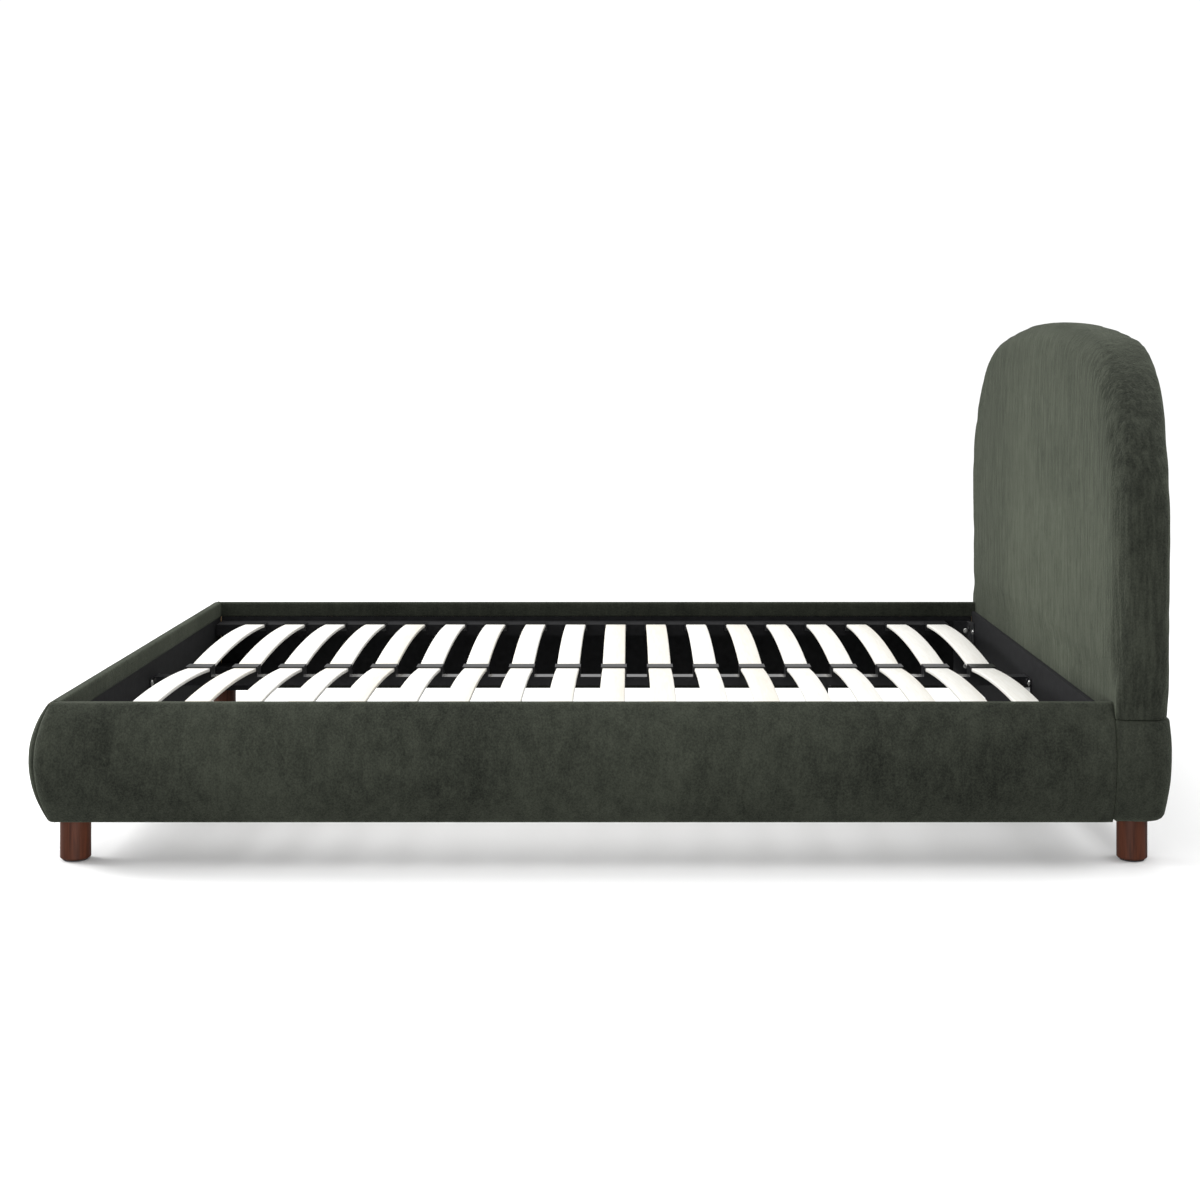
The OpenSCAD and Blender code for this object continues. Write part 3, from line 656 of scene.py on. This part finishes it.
def tone_ramp(nodes, links, source, dark, light, low=0.3, high=0.7):
    ramp = nodes.new("ShaderNodeValToRGB")
    ramp.color_ramp.elements[0].position = low
    ramp.color_ramp.elements[0].color = (*dark, 1)
    ramp.color_ramp.elements[1].position = high
    ramp.color_ramp.elements[1].color = (*light, 1)
    links.new(source, ramp.inputs["Fac"])
    return ramp.outputs["Color"]


def raise_by(nodes, links, shader, height, strength, distance):
    raised = nodes.new("ShaderNodeBump")
    raised.inputs["Strength"].default_value = strength
    raised.inputs["Distance"].default_value = distance
    links.new(height, raised.inputs["Height"])
    links.new(raised.outputs[0], shader.inputs["Normal"])


def black_cloth(name, dark, light, rough):
    made, nodes, links, shader = new_finish(name)
    weave = nodes.new("ShaderNodeGroup")
    weave.node_tree = plain_weave
    weave.inputs["Pitch"].default_value = 4200
    links.new(tone_ramp(nodes, links, weave.outputs["Tone"], dark, light), shader.inputs["Base Color"])
    raise_by(nodes, links, shader, weave.outputs["Height"], 0.25, 0.0002)
    shader.inputs["Roughness"].default_value = rough
    shader.inputs["Specular IOR Level"].default_value = 0.25
    return made


lining_cloth = black_cloth("lining_cloth", (0.0035, 0.0036, 0.0042), (0.009, 0.0092, 0.0105), 0.8)


def dress(finish, softened, *names):
    """Gives frame parts their finish, and takes the sharpness off their edges."""
    for name in names:
        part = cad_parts[name]
        for slot in part.material_slots:
            slot.link = "OBJECT"
            slot.material = finish
        edge = part.modifiers.new("eased_edges", "BEVEL")
        edge.width = softened
        edge.segments = 2
        edge.limit_method = "ANGLE"
        edge.angle_limit = math.radians(40)


dress(lining_cloth, 0.0004, "rail_near_lining", "rail_far_lining", "foot_rail_lining")
dress(lining_cloth, 0.0015, "head_panel", "rail_near_ledge", "rail_far_ledge", "foot_corner_blocks")


# ---- Slats: bowed strips of laminated birch in two rows, each strip with rounded edges. Their ends
# sit in moulded holders, so they only rest there and spring under load.
slat_low, slat_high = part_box("slats_far")
slat_count = 18
slat_w = 0.053
slat_t = 0.008
slat_crown = 0.281
slat_in_z = 0.264
slat_out_z = 0.270
slat_edge_r = 0.0022
slat_pitch = (slat_high[0] - slat_low[0] - slat_w) / (slat_count - 1)
slat_middle = (slat_low[1] + slat_high[1]) / 2
slat_half = (slat_high[1] - slat_low[1]) / 2
slat_mean_z = (slat_in_z + slat_out_z) / 2


def slat_place(y):
    """Height of a slat's upper face at y, and its slope there."""
    along = (y - slat_middle) / slat_half
    sag = slat_crown - slat_mean_z
    tilt = (slat_out_z - slat_in_z) / 2
    return slat_mean_z + tilt * along + sag * (1 - along * along), (tilt - 2 * sag * along) / slat_half


def slat_section(shrink):
    """A slat's cross section with round corners, as (across, down from the upper face)."""
    half_w = slat_w / 2 - shrink
    section = []
    for side_x, side_z, start in ((1, 0, 0), (-1, 0, 90), (-1, 1, 180), (1, 1, 270)):
        radius = max(slat_edge_r - shrink, 0.0004)
        centre_x = side_x * (half_w - radius)
        centre_z = -(slat_t - shrink - radius) if side_z else -(shrink + radius)
        for k in range(4):
            turn = math.radians(start + 30 * k)
            section.append((centre_x + radius * math.cos(turn), centre_z + radius * math.sin(turn)))
    return section


def slat_rings(centre_x, side):
    rings = []
    stations = [(0, 0.004), (0.0004, 0.0016), (0.0015, 0.0005), (0.003, 0)]
    stations += [(0.003 + (2 * slat_half - 0.006) * k / 26, 0) for k in range(1, 27)]
    stations += [(2 * slat_half - along, shrink)
                 for along, shrink in ((0.0015, 0.0005), (0.0004, 0.0016), (0, 0.004))]
    for along, shrink in stations:
        y = slat_middle - slat_half + along
        height, slope = slat_place(y)
        rings.append([(centre_x + across, side * (y - slope * down), height + down)
                      for across, down in slat_section(min(shrink, 0.0035))])
    return rings


def grain(nodes, links, stretch, scale, detail):
    """Fine streaks drawn out along one axis, as in sawn or turned wood."""
    coords = nodes.new("ShaderNodeTexCoord")
    mapping = nodes.new("ShaderNodeMapping")
    mapping.inputs["Scale"].default_value = stretch
    links.new(coords.outputs["Object"], mapping.inputs["Vector"])
    made = nodes.new("ShaderNodeTexNoise")
    made.inputs["Scale"].default_value = scale
    made.inputs["Detail"].default_value = detail
    made.inputs["Roughness"].default_value = 0.6
    made.inputs["Distortion"].default_value = 0.4
    links.new(mapping.outputs[0], made.inputs["Vector"])
    return made.outputs["Fac"]


def blended(nodes, links, mode, share, first, second):
    """Two colours mixed; share is a number or a mask."""
    mix = nodes.new("ShaderNodeMix")
    mix.data_type = "RGBA"
    mix.blend_type = mode
    if isinstance(share, float):
        mix.inputs["Factor"].default_value = share
    else:
        links.new(share, mix.inputs["Factor"])
    links.new(first, mix.inputs["A"])
    links.new(second, mix.inputs["B"])
    return mix.outputs["Result"]


birch, nodes, links, shader = new_finish("laminated_birch")
streaks = grain(nodes, links, (1, 0.05, 1), 190, 4)
streaks = tone_ramp(nodes, links, streaks, (0.79, 0.77, 0.71), (0.88, 0.87, 0.83))
strips = grain(nodes, links, (1, 0.02, 0.02), 6.5, 1)
strips = tone_ramp(nodes, links, strips, (0.86, 0.80, 0.68), (1, 1, 1), 0.38, 0.52)
links.new(blended(nodes, links, "MULTIPLY", 0.45, streaks, strips), shader.inputs["Base Color"])
raise_by(nodes, links, shader, grain(nodes, links, (1, 0.05, 1), 240, 3), 0.12, 0.0004)
shader.inputs["Roughness"].default_value = 0.48
for row, side in (("slats_near", -1), ("slats_far", 1)):
    rows = [slat_rings(slat_low[0] + slat_w / 2 + slat_pitch * k, side) for k in range(slat_count)]
    strip = skin(row.replace("slats", "bowed_slats"), rows, birch, looped=True)
    capped(strip.data)
    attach(strip, "bed")
    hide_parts(row)


# ---- Slat holders: black moulded nylon, pressed into the ledges and set astride the centre beam.
# A faint moulding texture and soft edges.
def moulded(name, colour, rough):
    made, nodes, links, shader = new_finish(name)
    mottle = grain(nodes, links, (1, 1, 1), 900, 2)
    dark = tuple(0.75 * c for c in colour)
    links.new(tone_ramp(nodes, links, mottle, dark, colour), shader.inputs["Base Color"])
    raise_by(nodes, links, shader, mottle, 0.15, 0.0002)
    shader.inputs["Roughness"].default_value = rough
    return made


holder_plastic = moulded("holder_plastic", (0.012, 0.012, 0.013), 0.28)
dress(holder_plastic, 0.0012, "side_caps_near", "side_caps_far", "centre_caps", "beam_end_plugs")


# ---- Steelwork: the centre beam, its cradles, the corner brackets and the support legs are cut and
# welded steel under a black powder coat, with a fine orange-peel surface.
def powder_coat(name, dark, light, rough):
    made, nodes, links, shader = new_finish(name)
    cloudy = grain(nodes, links, (1, 1, 1), 45, 5)
    links.new(tone_ramp(nodes, links, cloudy, dark, light), shader.inputs["Base Color"])
    raise_by(nodes, links, shader, grain(nodes, links, (1, 1, 1), 1400, 1), 0.2, 0.0002)
    shader.inputs["Roughness"].default_value = rough
    shader.inputs["Coat Weight"].default_value = 1
    shader.inputs["Coat Roughness"].default_value = 0.1
    return made


black_coat = powder_coat("black_powder_coat", (0.009, 0.009, 0.011), (0.018, 0.018, 0.021), 0.3)
dress(black_coat, 0.0012, "centre_beam", "beam_brackets", "support_leg_head", "support_leg_foot")
dress(black_coat, 0.0007, "corner_brackets")


# ---- Bolts: zinc-plated button heads with a hexagon socket, through the brackets into the panel and
# the rails' boards, and through the cradles' plates. Short threads hold them.
def plated(name, colour, rough):
    made, nodes, links, shader = new_finish(name)
    cloudy = grain(nodes, links, (1, 1, 1), 300, 4)
    dull = tuple(0.7 * c for c in colour)
    links.new(tone_ramp(nodes, links, cloudy, dull, colour), shader.inputs["Base Color"])
    raise_by(nodes, links, shader, cloudy, 0.08, 0.0002)
    shader.inputs["Metallic"].default_value = 1
    shader.inputs["Roughness"].default_value = rough
    return made


bright_zinc = plated("bright_zinc", (0.66, 0.66, 0.64), 0.32)
round_sides = 24
bolt_head_r = 0.007
bolt_head_h = 0.003
bolt_r = 0.003
socket_half = 0.002


def round_ring(radius, height):
    turns = [math.tau * k / round_sides for k in range(round_sides)]
    return [(radius * math.cos(turn), radius * math.sin(turn), height) for turn in turns]


def hexagon_ring(half_across, height):
    ring = []
    for k in range(round_sides):
        turn = math.tau * k / round_sides
        off_flat = (turn + math.pi / 6) % (math.pi / 3) - math.pi / 6
        radius = half_across / math.cos(off_flat)
        ring.append((radius * math.cos(turn), radius * math.sin(turn), height))
    return ring


def thread_rings(radius, low, high, pitch):
    rings = []
    for k in range(round((high - low) / pitch)):
        rings += [round_ring(radius, low + k * pitch), round_ring(radius * 0.88, low + (k + 0.5) * pitch)]
    return rings


def bolt_rings(shank):
    """A button-head bolt along +Z with the underside of its head at zero."""
    rings = [round_ring(0, -shank), round_ring(bolt_r * 0.8, -shank)]
    rings += thread_rings(bolt_r, 0.0006 - shank, -0.002, 0.001)
    rings += [round_ring(bolt_r, -0.0015), round_ring(bolt_r, 0), round_ring(bolt_head_r * 0.97, 0)]
    for k in range(6):
        turn = math.radians(12 * k)
        height = bolt_head_h * (0.1 + 0.9 * math.sin(turn) / 0.87)
        rings.append(round_ring(bolt_head_r * math.cos(turn), height))
    rings += [hexagon_ring(socket_half * 1.06, bolt_head_h), hexagon_ring(socket_half, bolt_head_h - 0.0002)]
    rings += [hexagon_ring(socket_half, bolt_head_h * 0.4), round_ring(0, bolt_head_h * 0.34)]
    return rings


def set_along(rings, base, direction):
    turn = Vector(direction).to_track_quat("Z", "Y")
    return [[tuple(Vector(base) + turn @ Vector(p)) for p in ring] for ring in rings]


def bolt_group(name, node, places, shank):
    sets = [set_along(bolt_rings(shank), base, direction) for base, direction in places]
    group = skin(name, sets, bright_zinc, looped=True)
    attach(group, "bed")
    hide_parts(node)


bolts_low, bolts_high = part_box("corner_bracket_bolts")
bolt_rows = (bolts_low[2] + bolt_head_r, bolts_high[2] - bolt_head_r)
bolt_group("corner_button_bolts", "corner_bracket_bolts",
           [((bolts_low[0] + bolt_head_h, side * (bolts_high[1] - bolt_head_r), z), (-1, 0, 0))
            for side in (-1, 1) for z in bolt_rows], bolts_high[0] - bolts_low[0] - bolt_head_h)
joint_low, joint_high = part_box("rail_joint_bolts")
bracket_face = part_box("corner_brackets")[1][1] - 0.003
bolt_group("rail_button_bolts", "rail_joint_bolts",
           [(((joint_low[0] + joint_high[0]) / 2, side * bracket_face, z), (0, -side, 0))
            for side in (-1, 1) for z in bolt_rows], joint_high[1] - bracket_face)
cradle_low, cradle_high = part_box("beam_bracket_bolts")
bolt_group("cradle_button_bolts", "beam_bracket_bolts",
           [((x, side * (cradle_high[1] - bolt_head_r), (cradle_low[2] + cradle_high[2]) / 2), (way, 0, 0))
            for x, way in ((cradle_low[0], 1), (cradle_high[0], -1)) for side in (-1, 1)], 0.003)
dress(bright_zinc, 0.0004, "support_leg_nuts", "leg_hanger_bolts")


# ---- Levelling feet: a nylon pad moulded round the head of a zinc-plated screw, which turns up into
# the support leg.
pad_nylon = moulded("pad_nylon", (0.02, 0.02, 0.021), 0.5)
pad_profile = [(0, 0.0012), (0.0135, 0.0012), (0.0145, 0), (0.0166, 0), (0.0178, 0.0012), (0.018, 0.003),
               (0.0174, 0.0046), (0.0155, 0.0058), (0.012, 0.0068), (0.0095, 0.0072), (0.009, 0.008)]
pad_rings = [round_ring(radius, z) for radius, z in pad_profile + [(0, 0.008)]]
screw_r = 0.005
for end in ("head", "foot"):
    node = "levelling_foot_" + end
    foot_low, foot_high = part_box(node)
    middle = ((foot_low[0] + foot_high[0]) / 2, (foot_low[1] + foot_high[1]) / 2, foot_low[2])
    pad = skin("levelling_pad_" + end, [set_along(pad_rings, middle, (0, 0, 1))], pad_nylon, looped=True)
    screw = [hexagon_ring(0.0001, 0.0079), hexagon_ring(0.0075, 0.0079), hexagon_ring(0.008, 0.0084)]
    screw += [hexagon_ring(0.008, 0.0126), hexagon_ring(0.0074, 0.0132), round_ring(screw_r * 0.88, 0.0133)]
    tip = foot_high[2] - foot_low[2]
    screw += thread_rings(screw_r, 0.0137, tip - 0.0012, 0.0015)
    screw += [round_ring(screw_r * 0.75, tip), round_ring(0, tip)]
    stem = skin("levelling_screw_" + end, [set_along(screw, middle, (0, 0, 1))], bright_zinc, looped=True)
    for piece, slot_name in ((pad, "foot_plastic"), (stem, "zinc")):
        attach(piece, node)
        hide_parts(node)


# ---- Wooden legs: turned hardwood stained a reddish walnut under satin lacquer, screwed up into the
# corner blocks and posts, with a felt glide glued under each.
walnut, nodes, links, shader = new_finish("walnut_stain")
fibres = grain(nodes, links, (1, 1, 0.06), 130, 5)
fibres = tone_ramp(nodes, links, fibres, (0.040, 0.0112, 0.0052), (0.122, 0.036, 0.0165))
bands = grain(nodes, links, (1, 1, 0.10), 24, 3)
bands = tone_ramp(nodes, links, bands, (0.62, 0.58, 0.56), (1, 1, 1), 0.35, 0.6)
links.new(blended(nodes, links, "MULTIPLY", 0.8, fibres, bands), shader.inputs["Base Color"])
raise_by(nodes, links, shader, grain(nodes, links, (1, 1, 0.06), 200, 3), 0.1, 0.0004)
shader.inputs["Roughness"].default_value = 0.5
shader.inputs["Specular IOR Level"].default_value = 0.2
dress(walnut, 0.0012, "leg_foot_near", "leg_foot_far", "leg_head_near", "leg_head_far")
felt, nodes, links, shader = new_finish("black_felt")
fluff = grain(nodes, links, (1, 1, 1), 500, 5)
fluff_tone = tone_ramp(nodes, links, fluff, (0.014, 0.014, 0.014), (0.045, 0.045, 0.045))
links.new(fluff_tone, shader.inputs["Base Color"])
raise_by(nodes, links, shader, fluff, 0.7, 0.0008)
shader.inputs["Roughness"].default_value = 0.95
dress(felt, 0.0006, "leg_glides")


# ---- Hidden frame: plywood boards, panels and the laminated rim, and softwood posts and rails,
# sawn and left raw under the upholstery.
raw_wood, nodes, links, shader = new_finish("raw_plywood")
sawn = grain(nodes, links, (0.1, 0.1, 1), 90, 5)
sawn = tone_ramp(nodes, links, sawn, (0.40, 0.26, 0.13), (0.62, 0.46, 0.27))
knots = grain(nodes, links, (0.4, 0.4, 1), 11, 3)
knots = tone_ramp(nodes, links, knots, (0.7, 0.62, 0.55), (1, 1, 1), 0.3, 0.55)
links.new(blended(nodes, links, "MULTIPLY", 0.8, sawn, knots), shader.inputs["Base Color"])
raise_by(nodes, links, shader, grain(nodes, links, (0.1, 0.1, 1), 160, 3), 0.25, 0.0005)
shader.inputs["Roughness"].default_value = 0.7
dress(raw_wood, 0.0006, "headboard_front_panel", "headboard_rear_panel", "headboard_arch_rim",
      "headboard_post_near", "headboard_post_far", "headboard_cross_rails",
      "rail_near_board", "rail_far_board", "foot_rail_board")
